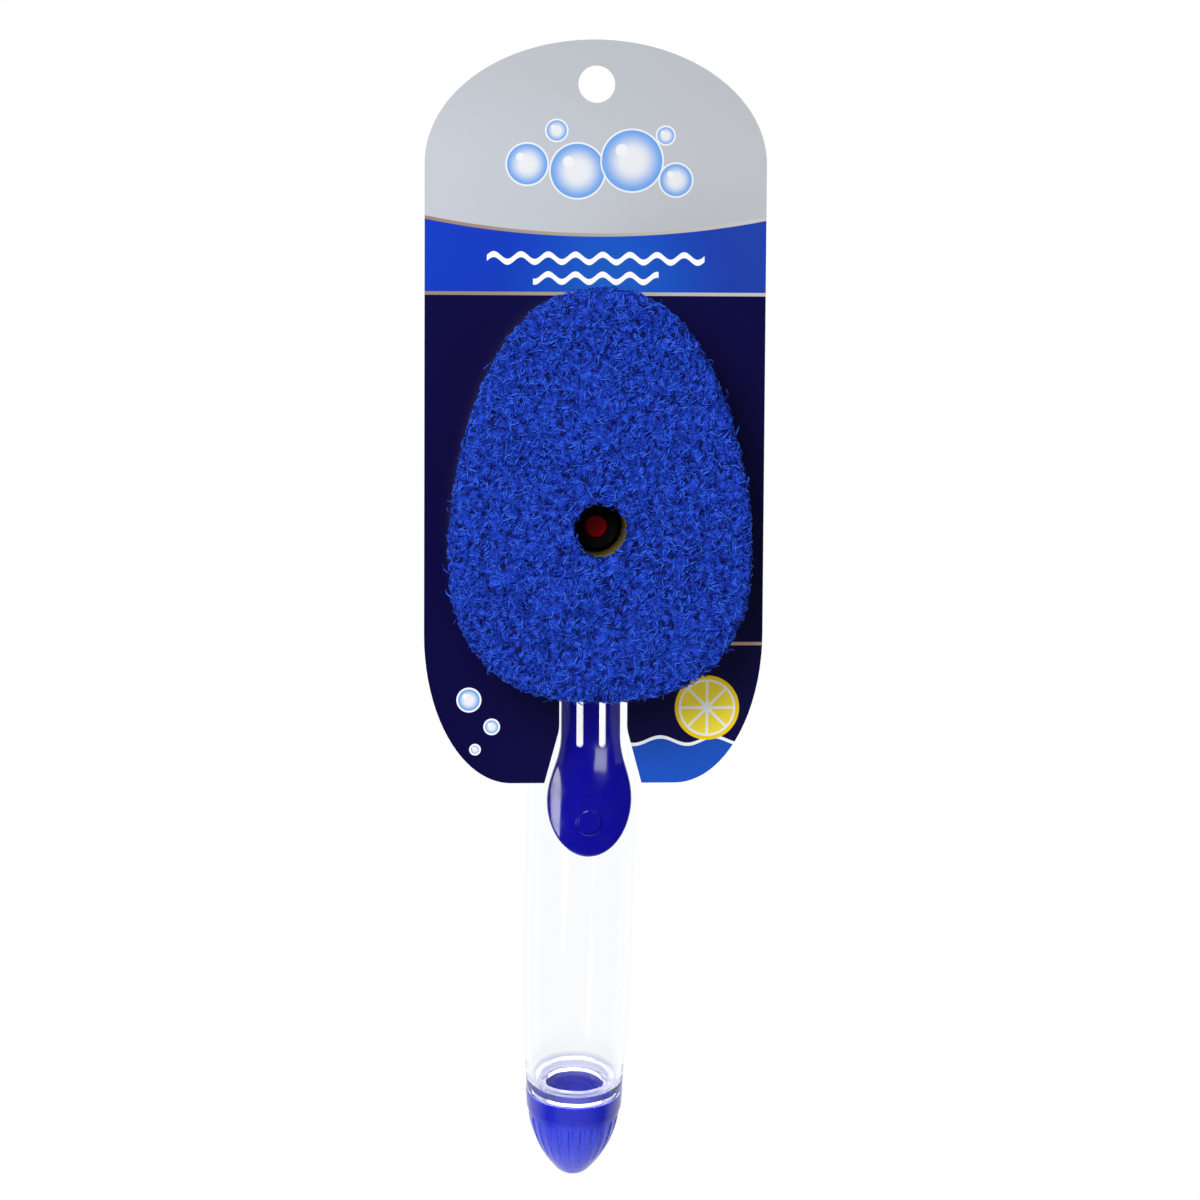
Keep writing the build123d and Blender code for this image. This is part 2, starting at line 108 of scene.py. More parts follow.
# %% Add materials, nodes and links
def plain_material(name, color, roughness, **sockets):
    """A Principled material; sockets are named with underscores for spaces."""
    material = bpy.data.materials.new(name)
    material.use_nodes = True
    shader = material.node_tree.nodes["Principled BSDF"]
    shader.inputs["Base Color"].default_value = (*color, 1)
    shader.inputs["Roughness"].default_value = roughness
    for socket, value in sockets.items():
        shader.inputs[socket.replace("_", " ")].default_value = value
    return material


def add(material, kind, inputs=None, **settings):
    """Adds a node; an input is a value or another node's output socket."""
    tree = material.node_tree
    node = tree.nodes.new(kind)
    for name, value in settings.items():
        setattr(node, name, value)
    for name, value in (inputs or {}).items():
        if isinstance(value, bpy.types.NodeSocket):
            tree.links.new(value, node.inputs[name])
        else:
            node.inputs[name].default_value = value
    return node


def feed(material, socket, value):
    """Links a value to the Principled shader."""
    shader = material.node_tree.nodes["Principled BSDF"]
    material.node_tree.links.new(value, shader.inputs[socket])


def dress(names, material):
    """Gives CAD nodes a material."""
    for name in names:
        nodes[name].data.materials.clear()
        nodes[name].data.materials.append(material)


# %% Places and arithmetic
def place(material):
    """The point's place in metres, in the object's own frame."""
    return add(material, "ShaderNodeTexCoord").outputs["Object"]


def axes(material):
    """The point's place as separate X, Y and Z sockets."""
    return add(material, "ShaderNodeSeparateXYZ", {"Vector": place(material)}).outputs


def work_out(material, operation, first, second=0.0, third=0.0):
    """One step of arithmetic on sockets or numbers."""
    inputs = {0: first, 1: second, 2: third}
    return add(material, "ShaderNodeMath", inputs, operation=operation).outputs[0]


def fade(material, value, start, end, low=0.0, high=1.0):
    """Goes smoothly from low to high while value goes from start to end."""
    inputs = {"Value": value, "From Min": start, "From Max": end, "To Min": low, "To Max": high}
    return add(material, "ShaderNodeMapRange", inputs, interpolation_type="SMOOTHSTEP").outputs["Result"]


def blend(material, share, first, second):
    """Mixes two colours, each a colour or a socket."""
    node = add(material, "ShaderNodeMix", data_type="RGBA")
    factor, first_socket, second_socket = node.inputs[0], node.inputs[6], node.inputs[7]
    for socket, value in ((factor, share), (first_socket, first), (second_socket, second)):
        if isinstance(value, bpy.types.NodeSocket):
            material.node_tree.links.new(value, socket)
        else:
            socket.default_value = value if isinstance(value, float) else (*value, 1)
    return node.outputs[2]


# %% Noise and bump
NOISE_LOW, NOISE_HIGH = 0.3, 0.7


def noise(material, scale, detail=2.0, roughness=0.5):
    """Even noise about one half; scale is in waves a metre."""
    inputs = {"Vector": place(material), "Scale": scale, "Detail": detail, "Roughness": roughness}
    return add(material, "ShaderNodeTexNoise", inputs).outputs["Fac"]


def wander(material, scale, low, high, detail=2.0, roughness=0.5):
    """Noise that wanders between two values."""
    return fade(material, noise(material, scale, detail, roughness), NOISE_LOW, NOISE_HIGH, low, high)


def bump(material, height, depth):
    """Turns a height from 0 to 1 into a surface bump of a depth in metres."""
    node = add(material, "ShaderNodeBump", {"Height": height, "Distance": depth, "Strength": 1.0})
    feed(material, "Normal", node.outputs["Normal"])


# %% [markdown]
# White ground
#
# The photograph has a pure white ground. A bright world would give that, but it would also wash out the
# colours of the object. So the world is white only for rays that come from the camera or through clear
# plastic, and for mirror rays that head away from the camera. The light that falls on the object from
# all round stays at a plain level, and a gloss that faces the camera mirrors almost nothing, as in a
# dark room with a few lamps.

# %% World
AMBIENT_LIGHT = 0.3
FRONT_REFLECTION = 0.02
WHITE_STARTS_AT = -0.1
WHITE_FULL_AT = 0.35
MORE_THAN_NONE = 0.5

world = bpy.data.worlds.new("white_studio")
bpy.context.scene.world = world
world.use_nodes = True
background = world.node_tree.nodes["Background"]
ray = add(world, "ShaderNodeLightPath").outputs
direction = add(world, "ShaderNodeTexCoord").outputs["Generated"]
away = add(world, "ShaderNodeSeparateXYZ", {"Vector": direction}).outputs["Y"]
behind = fade(world, away, WHITE_STARTS_AT, WHITE_FULL_AT, FRONT_REFLECTION, 1.0)
through_glass = work_out(world, "GREATER_THAN", ray["Transmission Depth"], MORE_THAN_NONE)
behind = work_out(world, "MAXIMUM", behind, through_glass)
mirror_light = work_out(world, "MULTIPLY", ray["Is Glossy Ray"], behind)
seen = work_out(world, "ADD", ray["Is Camera Ray"], ray["Is Transmission Ray"])
seen = work_out(world, "MINIMUM", work_out(world, "ADD", seen, mirror_light), 1.0)
other = work_out(world, "MULTIPLY", ray["Is Diffuse Ray"], AMBIENT_LIGHT)
world.node_tree.links.new(work_out(world, "MAXIMUM", seen, other), background.inputs["Strength"])
background.inputs["Color"].default_value = (1, 1, 1, 1)
print("ambient light", AMBIENT_LIGHT)

# %% [markdown]
# Lamps
#
# A large soft key lamp stands high on the left and lights the card and the pad evenly. The glossy trigger
# shows no colour of its own in its highlights: it mirrors whatever stands in front of it. In the
# photograph it has a long curved highlight at the left and a short square one at the right. The mirror
# direction at each of these was worked out from the camera and the lever's normals, and a small lamp
# stands there. The back lamp only brightens the rear, for views from behind.

# %% Lamps
middle = (cad_low + cad_high) / 2
trigger_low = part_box("trigger")[0]
LAMPS = (
    # name, place, aimed at, width, height, watts, shape
    ("key_lamp", (-0.36, -0.80, 0.28), middle, 0.5, 0.5, 9.4, "RECTANGLE"),
    ("left_reflector", (-0.65, -0.67, -0.67), trigger_low, 0.2, 0.42, 1.6, "ELLIPSE"),
    ("right_reflector", (0.26, -0.80, -0.45), trigger_low, 0.24, 0.18, 0.7, "RECTANGLE"),
    ("back_lamp", (0.1, 0.8, 0.3), middle, 0.6, 0.6, 6.0, "RECTANGLE"),
)


def soft_lamp(name, place_at, aim, width, height, power, shape):
    """A flat soft lamp aimed at a point."""
    data = bpy.data.lights.new(name, "AREA")
    data.shape = shape
    data.size, data.size_y, data.energy = width, height, power
    lamp = bpy.data.objects.new(name, data)
    lamp.location = place_at
    lamp.rotation_euler = (Vector(aim) - Vector(place_at)).to_track_quat("-Z", "Y").to_euler()
    bpy.context.scene.collection.objects.link(lamp)


for lamp_values in LAMPS:
    soft_lamp(*lamp_values)
print("lamps:", len(LAMPS))

# %% [markdown]
# Floor
#
# The wand hangs in the air, so its floor lies well below it and only takes a soft shadow. A disc that
# fades to nothing at its edge leaves no horizon, which a plain square floor would.

# %% Floor
FLOOR_GAP = 0.25
FLOOR_RADIUS = 0.35
FLOOR_FADE_START = 0.4
FLOOR_CORNERS = 96
PALE = (0.86, 0.86, 0.86)

bpy.ops.object.select_all(action="DESELECT")
floor_place = (0, middle.y, cad_low.z - FLOOR_GAP)
bpy.ops.mesh.primitive_circle_add(
    vertices=FLOOR_CORNERS, radius=FLOOR_RADIUS, fill_type="NGON", location=floor_place
)
floor = bpy.context.object
floor.name = "floor"
floor_material = plain_material("pale_floor", PALE, 0.8)
from_middle = add(floor_material, "ShaderNodeVectorMath", {0: place(floor_material)}, operation="LENGTH")
floor_edge = fade(
    floor_material, from_middle.outputs["Value"], FLOOR_RADIUS * FLOOR_FADE_START, FLOOR_RADIUS, 1.0, 0.0
)
feed(floor_material, "Alpha", floor_edge)
floor.data.materials.append(floor_material)

# %% [markdown]
# Printed hang card
#
# The card is thin glossy board. Its front is printed: a silver foil dome that ends in a sagging arc, a
# royal blue band that is brightest in the middle, and a navy field, with fine copper foil lines between.
# The back is bare board. The print could be cut into the mesh as separate faces, but that makes jagged
# borders at the arc. One material that reads the place on the card and picks the ink keeps every edge of
# the print sharp at any distance. The motif is plain: soap bubbles, water and a slice of lemon.

# %% Inks of the print, and the card's own size
SILVER_LIT_LEFT = (0.55, 0.58, 0.64)
SILVER_SHADED_RIGHT = (0.52, 0.545, 0.58)
SILVER_SHADED_TOP = (0.495, 0.52, 0.56)
ROYAL_BLUE = (0.005, 0.036, 0.43)
DUSKY_BLUE = (0.013, 0.045, 0.34)
BAND_GLOW = (0.010, 0.10, 0.52)
NAVY = (0.0034, 0.0027, 0.046)
NAVY_PURPLE = (0.0026, 0.0016, 0.042)
FOIL_ROSE = (0.50, 0.36, 0.27)
FOIL_WHITE = (0.92, 0.90, 0.88)
WHITE_INK = (0.86, 0.88, 0.92)

card_low, card_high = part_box("hang_card")
half_card = card_high.x
card = plain_material("printed_card", SILVER_LIT_LEFT, 0.3, Specular_IOR_Level=0.35)
card_x, card_y, card_z = axes(card)

# %% Masks that place an ink
SOFT_EDGE = 0.00005


def above(value, level):
    """Zero below a level and one above it, with a hair-fine soft edge."""
    return fade(card, value, level - SOFT_EDGE, level + SOFT_EDGE)


def below(value, level):
    """One below a level and zero above it."""
    return work_out(card, "SUBTRACT", 1.0, above(value, level))


def within(value, middle_level, width):
    """One inside a strip of a width about a level."""
    offset = work_out(card, "ABSOLUTE", work_out(card, "SUBTRACT", value, middle_level))
    return below(offset, width / 2)


def both(first, second):
    """One where two masks are."""
    return work_out(card, "MULTIPLY", first, second)


def distance_to(x, z):
    """Distance on the card from a point."""
    along = work_out(card, "SUBTRACT", card_x, x)
    up = work_out(card, "SUBTRACT", card_z, z)
    return work_out(card, "SQRT", work_out(card, "ADD", both(along, along), both(up, up)))


# %% [markdown]
# The band's top edge
#
# The border between the dome and the band sags like a shallow bowl. It is an arc of a large circle, whose
# radius follows from the card's width and the sag in the middle. Taking the circle's height away from the
# point's height makes the arc a level line, so the same masks serve straight and curved borders.

# %% The sagging arc and the foil lines
BAND_TOP = -0.0316
BAND_SAG = 0.0040
BAND_FOOT = -0.0496
FOIL_LINE = 0.0008

arc_radius = (half_card**2 + BAND_SAG**2) / (2 * BAND_SAG)
arc_square = work_out(card, "SUBTRACT", arc_radius**2, both(card_x, card_x))
arc_lift = work_out(card, "SUBTRACT", arc_radius - BAND_SAG, work_out(card, "SQRT", arc_square))
arc_height = work_out(card, "SUBTRACT", card_z, arc_lift)
dome = above(arc_height, BAND_TOP)
arc_line = within(arc_height, BAND_TOP, FOIL_LINE)
foil = work_out(card, "MAXIMUM", arc_line, within(card_z, BAND_FOOT, FOIL_LINE))

# %% Fields of ink: navy below, the blue band, the silver dome, and foil between them
GLOW_X = 0.004
GLOW_REACH = 0.75
TOP_SHADE_START = -0.020
TOP_SHADE_END = 0.010

across = fade(card, card_x, -half_card, half_card)
glow = fade(card, distance_to(GLOW_X, BAND_FOOT), 0.0, half_card * GLOW_REACH, 1.0, 0.0)
field = blend(card, fade(card, card_x, -half_card, 0.0), NAVY_PURPLE, NAVY)
band = blend(card, fade(card, card_x, 0.0, half_card), ROYAL_BLUE, DUSKY_BLUE)
ink = blend(card, above(card_z, BAND_FOOT), field, blend(card, glow, band, BAND_GLOW))
# Painted light: the silver is paler at the left and darker at the right, and darker again towards the top, as
# painted sheen and painted shade on the foil.
silver_and_painted_sheen = blend(card, across, SILVER_LIT_LEFT, SILVER_SHADED_RIGHT)
silver_and_painted_sheen = blend(card, fade(card, card_z, TOP_SHADE_START, TOP_SHADE_END), silver_and_painted_sheen, SILVER_SHADED_TOP)
ink = blend(card, dome, ink, silver_and_painted_sheen)
ink = blend(card, foil, ink, blend(card, across, FOIL_ROSE, FOIL_WHITE))

# %% [markdown]
# Soap bubbles
#
# A drawn soap bubble is palest in its middle and takes the sky's blue towards its rim. It has a thin white
# outline and one round spot of shine at its upper left. The six large ones fill the dome, and three small
# ones rise at the card's lower left.

# %% Draw the bubbles
SKY_INK = (0.08, 0.33, 0.85)
BUBBLE_RIM = 0.0004
BUBBLE_COVER = 0.85
BUBBLE_PALE = 0.3
SHINE_OFFSET = 1 / 3
SHINE_SIZE = 1 / 5
BUBBLES = (
    # middle's x and z, radius
    (-0.0165, -0.0190, 0.0050),
    (-0.0095, -0.0110, 0.0026),
    (-0.0045, -0.0205, 0.0066),
    (0.0085, -0.0180, 0.0074),
    (0.0190, -0.0225, 0.0040),
    (0.0165, -0.0120, 0.0022),
    (-0.0300, -0.1470, 0.0028),
    (-0.0245, -0.1535, 0.0018),
    (-0.0285, -0.1590, 0.0012),
)


def with_bubble(ink, x, z, radius):
    """The ink with a bubble drawn over it."""
    reach = distance_to(x, z)
    tint = blend(card, fade(card, reach, radius * BUBBLE_PALE, radius), WHITE_INK, SKY_INK)
    ink = blend(card, both(below(reach, radius), BUBBLE_COVER), ink, tint)
    shine_place = distance_to(x - radius * SHINE_OFFSET, z + radius * SHINE_OFFSET)
    shine = below(shine_place, radius * SHINE_SIZE)
    return blend(card, work_out(card, "MAXIMUM", within(reach, radius, BUBBLE_RIM), shine), ink, WHITE_INK)


for bubble in BUBBLES:
    ink = with_bubble(ink, *bubble)
print("bubbles:", len(BUBBLES))

# %% [markdown]
# Water
#
# Two white wave lines stand on the blue band, and a pool with a white edge fills the card's lower right.
# All are one sine wave along the card, stretched to twice its length for the pool. A trim line of foil
# crosses the navy field above it.

# %% Draw the water lines, the pool and the trim line
WATER_LINES = ((-0.0412, 0.0260), (-0.0459, 0.0150))
WATER_WAVE = 0.0065
WATER_RISE = 0.0009
WATER_WIDTH = 0.0014
POOL_WAVE = 2 * WATER_WAVE
POOL_LEVEL = -0.1570
POOL_BLUE = (0.010, 0.075, 0.46)
TRIM_LINE_Z = -0.1335


def height_over_waves(wave):
    """The point's height, less that of a wave."""
    swell = work_out(card, "SINE", work_out(card, "MULTIPLY", card_x, 2 * math.pi / wave))
    return work_out(card, "SUBTRACT", card_z, work_out(card, "MULTIPLY", swell, WATER_RISE))


for line_z, half_length in WATER_LINES:
    on_the_line = within(height_over_waves(WATER_WAVE), line_z, WATER_WIDTH)
    ink = blend(card, both(on_the_line, within(card_x, 0.0, half_length * 2)), ink, WHITE_INK)

to_the_right = above(card_x, 0.0)
over_pool = height_over_waves(POOL_WAVE)
ink = blend(card, both(to_the_right, below(over_pool, POOL_LEVEL)), ink, POOL_BLUE)
ink = blend(card, both(to_the_right, within(over_pool, POOL_LEVEL, FOIL_LINE)), ink, WHITE_INK)
ink = blend(card, both(to_the_right, within(card_z, TRIM_LINE_Z, FOIL_LINE)), ink, FOIL_ROSE)
print("water lines:", len(WATER_LINES))

# %% [markdown]
# Slice of lemon
#
# A slice is three discs, one over another: the rind, the white pith and the flesh. The white walls between
# the segments are where the sine of a multiple of the angle passes through zero. Times the distance from
# the middle, that gives walls of an even width, where the angle alone would give wedges.

# %% Draw the lemon
LEMON_RIND = (0.88, 0.62, 0.01)
LEMON_FLESH = (0.90, 0.74, 0.05)
LEMON_X, LEMON_Z, LEMON_RADIUS = 0.0275, -0.1490, 0.0078
PITH_SHARE = 0.88
FLESH_SHARE = 0.81
LEMON_SEGMENTS = 8
LEMON_GAP = 0.0003

reach = distance_to(LEMON_X, LEMON_Z)
lemon_along = work_out(card, "SUBTRACT", card_x, LEMON_X)
lemon_up = work_out(card, "SUBTRACT", card_z, LEMON_Z)
angle = work_out(card, "ARCTAN2", lemon_up, lemon_along)
turns = work_out(card, "SINE", work_out(card, "MULTIPLY", angle, LEMON_SEGMENTS / 2))
spoke = work_out(card, "ABSOLUTE", both(reach, work_out(card, "DIVIDE", turns, LEMON_SEGMENTS / 2)))
ink = blend(card, below(reach, LEMON_RADIUS), ink, LEMON_RIND)
ink = blend(card, below(reach, LEMON_RADIUS * PITH_SHARE), ink, WHITE_INK)
flesh = both(below(reach, LEMON_RADIUS * FLESH_SHARE), above(spoke, LEMON_GAP))
ink = blend(card, flesh, ink, LEMON_FLESH)
print("lemon segments:", LEMON_SEGMENTS)

# %% [markdown]
# Gloss of the front, bare board behind
#
# The front is lacquered and its foil is part metal, while the back and the cut edges are matt grey board
# with a faint fleck. How deep a point lies in the board's thickness tells the two apart, so the ink
# doesn't run over the cut edge.

# %% Finish the card
BOARD = (0.60, 0.585, 0.55)
BOARD_FLECK = 0.93
FRONT_INK_DEPTH = 0.00008
LACQUER_ROUGHNESS = 0.17
BOARD_ROUGHNESS = 0.75
FOIL_METAL = 0.5
DOME_METAL = 0.2

back = above(card_y, card_low.y + FRONT_INK_DEPTH)
front = work_out(card, "SUBTRACT", 1.0, back)
flecked = tuple(value * BOARD_FLECK for value in BOARD)
bare = blend(card, wander(card, scale=500.0, low=0.0, high=1.0, detail=4.0), flecked, BOARD)
metal = work_out(card, "MAXIMUM", both(foil, FOIL_METAL), both(dome, DOME_METAL))
feed(card, "Base Color", blend(card, back, ink, bare))
feed(card, "Metallic", both(front, metal))
feed(card, "Roughness", fade(card, back, 0.0, 1.0, LACQUER_ROUGHNESS, BOARD_ROUGHNESS))
bump(card, noise(card, scale=900.0, detail=3.0), depth=0.00001)
dress(["hang_card"], card)
print("card nodes:", len(card.node_tree.nodes))

# %% [markdown]
# Blue plastic
#
# The trigger and the head base are one deep blue plastic that light enters a little way, so thin rims
# glow. That is subsurface scattering, which travels furthest in blue. A faint waviness in the gloss keeps
# highlights from looking drawn with a ruler. The lever has a small round moulded mark. Its groove in the
# solid is too shallow to catch this light, so the bump lifts the mark's disc as well.

# %% Blue plastic with the lever's round mark
BLUE = (0.005, 0.0035, 0.30)
DEPTH_OF_LIGHT = 0.0025
BLUE_SPREAD = (0.2, 0.25, 1.0)
WAVE_DEPTH = 0.00004
MARK_MIDDLE_Z = -0.1785
MARK_RADIUS = 0.0031
MARK_EDGE_INSIDE = 0.0004
MARK_EDGE_OUTSIDE = 0.0003
MARK_LIFT = 0.00025

blue = plain_material(
    "deep_blue_plastic", BLUE, 0.12, Coat_Weight=0.3, Coat_Roughness=0.04,
    Subsurface_Weight=0.25, Subsurface_Scale=DEPTH_OF_LIGHT, Subsurface_Radius=BLUE_SPREAD,
)
feed(blue, "Roughness", wander(blue, scale=260.0, low=0.08, high=0.17))
mark_x = axes(blue)["X"]
mark_z = work_out(blue, "SUBTRACT", axes(blue)["Z"], MARK_MIDDLE_Z)
mark_square = work_out(blue, "MULTIPLY_ADD", mark_z, mark_z, work_out(blue, "MULTIPLY", mark_x, mark_x))
mark_inside, mark_outside = MARK_RADIUS - MARK_EDGE_INSIDE, MARK_RADIUS + MARK_EDGE_OUTSIDE
lift = MARK_LIFT / WAVE_DEPTH
button = fade(blue, work_out(blue, "SQRT", mark_square), mark_inside, mark_outside, lift, 0.0)
bump(blue, work_out(blue, "ADD", noise(blue, scale=140.0), button), WAVE_DEPTH)
dress(["trigger", "head_base"], blue)

# %% [markdown]
# Nozzle, plug and backing plate
#
# The nozzle's sleeve is satin black plastic, and it looks nearly black deep in the pad's hole. The backing
# plate round it is natural white plastic, but here it takes the same black as painted shade deep in the hole.
# The plug in its mouth is dark red and soft-looking, with little gloss.

# %% Black and red plastics
BLACK_AND_HOLE_SHADE = (0.003, 0.003, 0.0035)
RED = (0.55, 0.0015, 0.0015)

black_and_hole_shade = plain_material("black_plastic", BLACK_AND_HOLE_SHADE, 0.35, Specular_IOR_Level=0.12)
feed(black_and_hole_shade, "Roughness", wander(black_and_hole_shade, scale=900.0, low=0.28, high=0.42))
bump(black_and_hole_shade, noise(black_and_hole_shade, scale=2500.0), depth=0.00001)
# Painted shade: the backing plate is natural white plastic, but it takes the black here, as shade deep in the
# pad's hole.
dress(["nozzle_sleeve", "refill_plate"], black_and_hole_shade)

red = plain_material(
    "red_plastic", RED, 0.3, Specular_IOR_Level=0.1,
    Subsurface_Weight=0.2, Subsurface_Scale=DEPTH_OF_LIGHT / 4,
)
feed(red, "Roughness", wander(red, scale=900.0, low=0.26, high=0.38))
bump(red, noise(red, scale=1500.0), depth=0.00001)
dress(["valve_plug"], red)

# %% [markdown]
# Inner pieces
#
# The spout and the valve's stem are natural white plastic, which light enters further than the blue. The
# seals are matt rubber, black in the valve and pale under the cap. The pin and the spring are drawn steel,
# a metal whose polish varies along the wire.

# %% White plastic, seals and steel
NATURAL_WHITE = (0.8, 0.81, 0.82)
RUBBER = (0.02, 0.02, 0.021)
PALE_RUBBER = (0.7, 0.72, 0.78)
STEEL = (0.55, 0.55, 0.57)

white = plain_material(
    "natural_white_plastic", NATURAL_WHITE, 0.4, Subsurface_Weight=0.2, Subsurface_Scale=DEPTH_OF_LIGHT
)
feed(white, "Roughness", wander(white, scale=600.0, low=0.32, high=0.5))
bump(white, noise(white, scale=1800.0), depth=0.00001)
dress(["outlet_spout", "valve_core"], white)

rubber = plain_material("seal_rubber", RUBBER, 0.7)
bump(rubber, noise(rubber, scale=3000.0), depth=0.00002)
dress(["spout_seal", "nozzle_o_ring"], rubber)

pale_seal = plain_material("pale_cap_seal", PALE_RUBBER, 0.6)
bump(pale_seal, noise(pale_seal, scale=2500.0), depth=0.00002)
dress(["cap_seal"], pale_seal)

steel = plain_material("spring_steel", STEEL, 0.28, Metallic=1.0)
feed(steel, "Roughness", wander(steel, scale=2000.0, low=0.2, high=0.36))
dress(["trigger_pin", "return_spring"], steel)

# %% [markdown]
# Heights along the handle
#
# The cap and the handle change along their length, and the handle leans back by 15 degrees. Turning a
# pattern with a Mapping node would do, but the sum is short: the height over the rim is the point's Y and
# Z, each times its share of the handle's direction.

# %% Measure along the leaning handle
RIM_MIDDLE = Vector((0, 0.0578, -0.2542))
LEAN = math.radians(15)


def height_on_handle(material):
    """Height above the handle's rim, measured along the leaning handle."""
    sockets = axes(material)
    leaning = work_out(material, "MULTIPLY", sockets["Y"], -math.sin(LEAN))
    upright = work_out(material, "MULTIPLY", sockets["Z"], math.cos(LEAN))
    start = RIM_MIDDLE.y * math.sin(LEAN) - RIM_MIDDLE.z * math.cos(LEAN)
    return work_out(material, "ADD", work_out(material, "ADD", leaning, upright), start)


# %% [markdown]
# The cap
#
# The cap is a brighter blue than the trigger, because its wall is thin and light passes through it. Three
# colours fade into each other down the cap: its upper band, which lies over the handle's neck, is darkest as
# painted shade, and the tip is palest as painted light. Strong scattering softens the flutes.

# %% Thin blue plastic
CAP_SHADED_BAND = (0.005, 0.013, 0.54)
CAP_BODY = (0.022, 0.042, 0.72)
CAP_LIT_TIP = (0.07, 0.09, 0.80)
SHADED_BAND_FADE_START, SHADED_BAND_FADE_END = -0.004, -0.0085
LIT_TIP_FADE_START, LIT_TIP_FADE_END = -0.010, -0.026

cap_blue = plain_material(
    "thin_blue_plastic", CAP_BODY, 0.25, Coat_Weight=0.2, Coat_Roughness=0.08,
    Subsurface_Weight=0.6, Subsurface_Scale=DEPTH_OF_LIGHT, Subsurface_Radius=BLUE_SPREAD,
)
down_the_cap = height_on_handle(cap_blue)
# Painted shade darkens the upper band over the neck, and painted light pales the tip.
past_the_shaded_band = fade(cap_blue, down_the_cap, SHADED_BAND_FADE_START, SHADED_BAND_FADE_END)
toward_the_lit_tip = fade(cap_blue, down_the_cap, LIT_TIP_FADE_START, LIT_TIP_FADE_END)
shaded_band_to_body = blend(cap_blue, past_the_shaded_band, CAP_SHADED_BAND, CAP_BODY)
feed(cap_blue, "Base Color", blend(cap_blue, toward_the_lit_tip, shaded_band_to_body, CAP_LIT_TIP))
feed(cap_blue, "Roughness", wander(cap_blue, scale=260.0, low=0.2, high=0.32))
bump(cap_blue, noise(cap_blue, scale=140.0), WAVE_DEPTH)
dress(["end_cap"], cap_blue)

# %% [markdown]
# The clear handle
#
# The handle is a hollow clear shell, a little milky where its neck is thick. It is full transmission, and
# three things keep it as clean as in the photograph. Its edges take a faint tint, read from how glancing
# the view is, so that its outline shows on white. Most of its shadow rays pass straight through, because
# a clear shell darkens little of what lies behind it. And a ray that is caught between its walls ends as
# see-through instead of black, which is how a limit on bounces would show.

# %% Clear plastic
CLEAR = (0.99, 0.995, 1.0)
CLEAR_EDGE = (0.80, 0.86, 0.90)
EDGE_STARTS_AT = 0.55
MILKY = (0.66, 0.68, 0.86)
MILKY_SHARE = 0.08
NECK_TOP = 0.0034
NECK_FOOT = -0.0002
NECK_FADE = 0.001
SHADOW_SHARE = 0.15
MOST_TURNS = 4.5

clear = plain_material("clear_plastic", CLEAR, 0.02, IOR=1.38, Transmission_Weight=1.0)
up_the_handle = height_on_handle(clear)
below_top = fade(clear, up_the_handle, NECK_TOP, NECK_TOP + NECK_FADE, 1.0, 0.0)
above_foot = fade(clear, up_the_handle, NECK_FOOT - NECK_FADE, NECK_FOOT)
thick = work_out(clear, "MULTIPLY", below_top, above_foot)
glancing = add(clear, "ShaderNodeLayerWeight", {"Blend": 0.5}).outputs["Facing"]
wall = blend(clear, fade(clear, glancing, EDGE_STARTS_AT, 1.0), CLEAR, CLEAR_EDGE)
feed(clear, "Base Color", blend(clear, thick, wall, MILKY))
milk = work_out(clear, "MULTIPLY", thick, MILKY_SHARE)
feed(clear, "Transmission Weight", work_out(clear, "SUBTRACT", 1.0, milk))
clear_ray = add(clear, "ShaderNodeLightPath").outputs
through = work_out(clear, "MULTIPLY", clear_ray["Is Shadow Ray"], 1 - SHADOW_SHARE)
trapped = work_out(clear, "GREATER_THAN", clear_ray["Ray Depth"], MOST_TURNS)
see_through = work_out(clear, "MAXIMUM", through, trapped)
feed(clear, "Alpha", work_out(clear, "SUBTRACT", 1.0, see_through))
feed(clear, "Roughness", wander(clear, scale=90.0, low=0.0, high=0.03))
bump(clear, noise(clear, scale=60.0), depth=0.00003)
dress(["reservoir_handle"], clear)
print("materials:", len(bpy.data.materials))

# %% [markdown]
# Return spring
#
# The coil spring sits between the head base and the sleeve's flange. When the trigger pushes the sleeve
# forward, the spring's front end stays on the base and its back end goes with the sleeve. A rigid spring
# would cut through one or the other. A copy of the solid takes its place, tied to the wand. The solid is
# loose triangles, so the copy's doubles are merged before it is shaded.

# %% Copy the spring
MERGE_DISTANCE = 0.000001
SMOOTH_BELOW_DEGREES = 40

spring = bpy.data.objects.new("coil_spring", nodes["return_spring"].data.copy())
bpy.context.scene.collection.objects.link(spring)
bpy.ops.object.select_all(action="DESELECT")
spring.select_set(True)
bpy.context.view_layer.objects.active = spring
bpy.ops.object.mode_set(mode="EDIT")
bpy.ops.mesh.select_all(action="SELECT")
bpy.ops.mesh.remove_doubles(threshold=MERGE_DISTANCE)
bpy.ops.object.mode_set(mode="OBJECT")
bpy.ops.object.shade_smooth_by_angle(angle=math.radians(SMOOTH_BELOW_DEGREES))

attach(spring, "wand")
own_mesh(spring)
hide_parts("return_spring")

# %% [markdown]
# Cores of the pad and the foam
#
# The soft pieces start as copies of their CAD solids, so they fill the same space. A voxel remesh gives
# each an even skin of small faces, which a subdivided solid hasn't, because its long thin triangles stay
# long and thin. Noise then pushes that skin in and out as coarse fibre and cut foam do.

# %% Copy, remesh and roughen a soft solid
WELD_DISTANCE = 0.00001
GRAIN_DEPTH = 2


